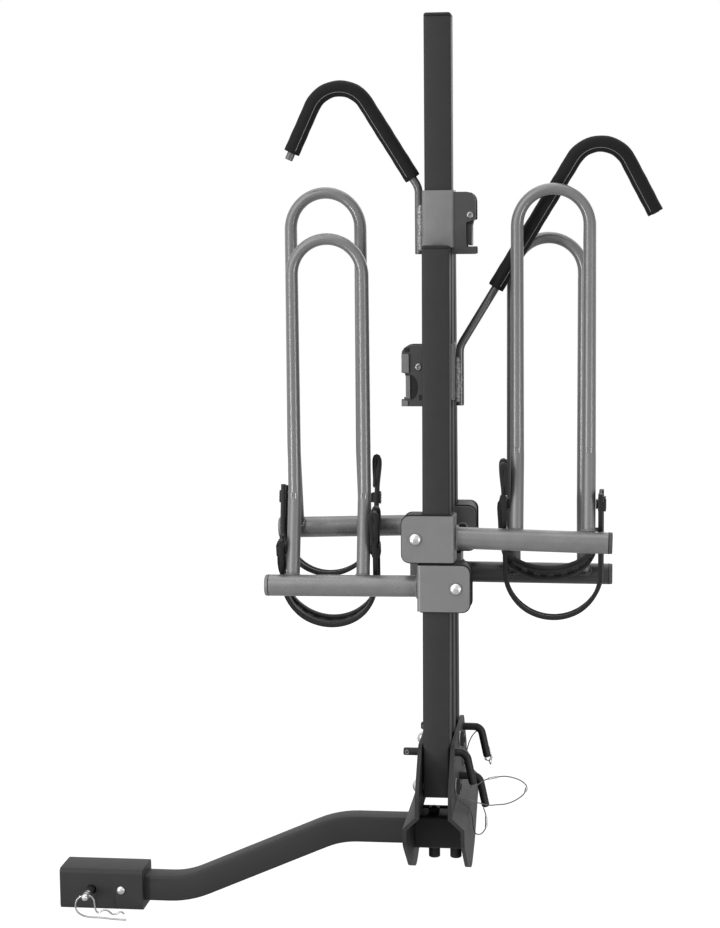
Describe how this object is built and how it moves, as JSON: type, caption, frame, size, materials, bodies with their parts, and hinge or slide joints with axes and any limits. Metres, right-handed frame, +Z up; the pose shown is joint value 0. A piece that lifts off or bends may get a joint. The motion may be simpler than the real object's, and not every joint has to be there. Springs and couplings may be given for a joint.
{
  "type": "hitch bike rack",
  "caption": "Folding hitch-mounted bicycle rack with a square mast, sliding frame hooks and wheel hoops with straps, folded up.",
  "frame": {"origin": "centre of the hitch adapter's underside", "axes": "+Z up along the mast, +X away from the car, +Y to the side, so that the camera looks along +Y"},
  "size_m": [0.7314, 0.244, 1.0878],
  "materials": {
    "black_paint": "satin black powder coat",
    "grey_paint": "satin grey powder coat",
    "bracket_paint": "satin grey powder coat",
    "black_plastic": "matte",
    "strap_rubber": "satin",
    "foam": "satin",
    "black_oxide": "black oxide, oiled",
    "zinc": "bright zinc plate",
    "wire": "stranded wire rope"
  },
  "bodies": {
    "base": {"adapter_sleeve": "black_paint", "adapter_bolt": "zinc", "hitch_pin": "black_oxide", "shank_tube": "black_paint", "base_plate_left": "black_paint", "base_plate_right": "black_paint", "cross_sleeve": "black_paint", "cross_tie": "black_paint", "sleeve_bolt_left": "black_oxide", "sleeve_bolt_right": "black_oxide", "arm_pivot_bolt_front": "zinc", "arm_pivot_bolt_rear": "zinc", "mast_bolt": "zinc", "lanyard_front": "wire", "lanyard_rear": "wire", "lanyard_mast": "wire", "mast_tube": "black_paint", "mast_cap": "black_plastic"},
    "hitch_clip": {"hitch_pin_clip": "zinc"},
    "lock_pin_front": {"lock_pin_front": "black_oxide"},
    "lock_pin_rear": {"lock_pin_rear": "black_oxide"},
    "lock_pin_mast": {"lock_pin_mast": "black_oxide"},
    "arm_front": {"arm_front_tube": "black_paint", "arm_front_cap": "black_plastic"},
    "arm_rear": {"arm_rear_tube": "black_paint", "arm_rear_cap": "black_plastic"},
    "holder_front_lower": {"holder_front_lower_bracket": "bracket_paint", "holder_front_lower_liner": "black_plastic", "holder_front_lower_bolt": "zinc", "holder_front_lower_crossbar": "grey_paint", "holder_front_lower_hoop": "grey_paint"},
    "strap_front_lower": {"holder_front_lower_strap": "strap_rubber"},
    "holder_front_upper": {"holder_front_upper_bracket": "bracket_paint", "holder_front_upper_liner": "black_plastic", "holder_front_upper_bolt": "zinc", "holder_front_upper_crossbar": "grey_paint", "holder_front_upper_hoop": "grey_paint"},
    "strap_front_upper": {"holder_front_upper_strap": "strap_rubber"},
    "holder_rear_lower": {"holder_rear_lower_bracket": "bracket_paint", "holder_rear_lower_liner": "black_plastic", "holder_rear_lower_bolt": "zinc", "holder_rear_lower_crossbar": "grey_paint", "holder_rear_lower_hoop": "grey_paint"},
    "strap_rear_lower": {"holder_rear_lower_strap": "strap_rubber"},
    "holder_rear_upper": {"holder_rear_upper_bracket": "bracket_paint", "holder_rear_upper_liner": "black_plastic", "holder_rear_upper_bolt": "zinc", "holder_rear_upper_crossbar": "grey_paint", "holder_rear_upper_hoop": "grey_paint"},
    "strap_rear_upper": {"holder_rear_upper_strap": "strap_rubber"},
    "hook_upper": {"hook_upper_slider": "bracket_paint", "hook_upper_rod": "grey_paint", "hook_upper_grip": "foam", "hook_upper_rivet": "zinc"},
    "hook_upper_lever": {"hook_upper_lever": "black_oxide"},
    "hook_lower": {"hook_lower_slider": "bracket_paint", "hook_lower_rod": "grey_paint", "hook_lower_grip": "foam", "hook_lower_rivet": "zinc"},
    "hook_lower_lever": {"hook_lower_lever": "black_oxide"}
  },
  "joints": [
    {"name": "arm_front_fold", "type": "hinge", "parent": "base", "child": "arm_front", "pos_m": [0.42, -0.0635, 0.1779], "axis": [1, 0, 0], "range_deg": [0, 92]},
    {"name": "arm_rear_fold", "type": "hinge", "parent": "base", "child": "arm_rear", "pos_m": [0.42, 0.0635, 0.1779], "axis": [-1, 0, 0], "range_deg": [0, 92]},
    {"name": "holder_front_lower_slide", "type": "slide", "parent": "arm_front", "child": "holder_front_lower", "axis": [0, 0.038, 0.9993], "range_m": [-0.14, 0]},
    {"name": "strap_front_lower_swing", "type": "hinge", "parent": "holder_front_lower", "child": "strap_front_lower", "pos_m": [0.29, -0.03728, 0.45504], "axis": [1, 0, 0], "range_deg": [0, 12]},
    {"name": "holder_front_upper_slide", "type": "slide", "parent": "arm_front", "child": "holder_front_upper", "axis": [0, 0.038, 0.9993], "range_m": [0, 0.03]},
    {"name": "strap_front_upper_swing", "type": "hinge", "parent": "holder_front_upper", "child": "strap_front_upper", "pos_m": [0.55396, -0.03495, 0.51112], "axis": [1, 0, 0], "range_deg": [0, 12]},
    {"name": "holder_rear_lower_slide", "type": "slide", "parent": "arm_rear", "child": "holder_rear_lower", "axis": [0, -0.038, 0.9993], "range_m": [-0.14, 0]},
    {"name": "strap_rear_lower_swing", "type": "hinge", "parent": "holder_rear_lower", "child": "strap_rear_lower", "pos_m": [0.547, 0.03731, 0.45405], "axis": [-1, 0, 0], "range_deg": [0, 12]},
    {"name": "holder_rear_upper_slide", "type": "slide", "parent": "arm_rear", "child": "holder_rear_upper", "axis": [0, -0.038, 0.9993], "range_m": [0, 0.03]},
    {"name": "strap_rear_upper_swing", "type": "hinge", "parent": "holder_rear_upper", "child": "strap_rear_upper", "pos_m": [0.28254, 0.03567, 0.50705], "axis": [-1, 0, 0], "range_deg": [0, 12]},
    {"name": "hook_upper_slide", "type": "slide", "parent": "base", "child": "hook_upper", "axis": [0, 0, 1], "range_m": [-0.05, 0.195]},
    {"name": "hook_lower_slide", "type": "slide", "parent": "base", "child": "hook_lower", "axis": [0, 0, 1], "range_m": [-0.2, 0.05]},
    {"name": "hook_upper_lever_turn", "type": "hinge", "parent": "hook_upper", "child": "hook_upper_lever", "pos_m": [0.4574, 0, 0.8459], "axis": [0, -1, 0], "range_deg": [0, 18], "stiffness_Nm_per_rad": 0.3, "springref_deg": -11.46},
    {"name": "hook_lower_lever_turn", "type": "hinge", "parent": "hook_lower", "child": "hook_lower_lever", "pos_m": [0.3826, 0, 0.6679], "axis": [0, 1, 0], "range_deg": [0, 18], "stiffness_Nm_per_rad": 0.3, "springref_deg": -11.46},
    {"name": "lock_pin_front_pull", "type": "slide", "parent": "base", "child": "lock_pin_front", "axis": [1, 0, 0], "range_m": [0, 0.065]},
    {"name": "lock_pin_rear_pull", "type": "slide", "parent": "base", "child": "lock_pin_rear", "axis": [1, 0, 0], "range_m": [0, 0.065]},
    {"name": "lock_pin_mast_pull", "type": "slide", "parent": "base", "child": "lock_pin_mast", "axis": [1, 0, 0], "range_m": [0, 0.065]},
    {"name": "hitch_clip_swing", "type": "hinge", "parent": "base", "child": "hitch_clip", "pos_m": [-0.0126, -0.0504, 0.0254], "axis": [1, 0, 0], "range_deg": [-60, 45]}
  ]
}
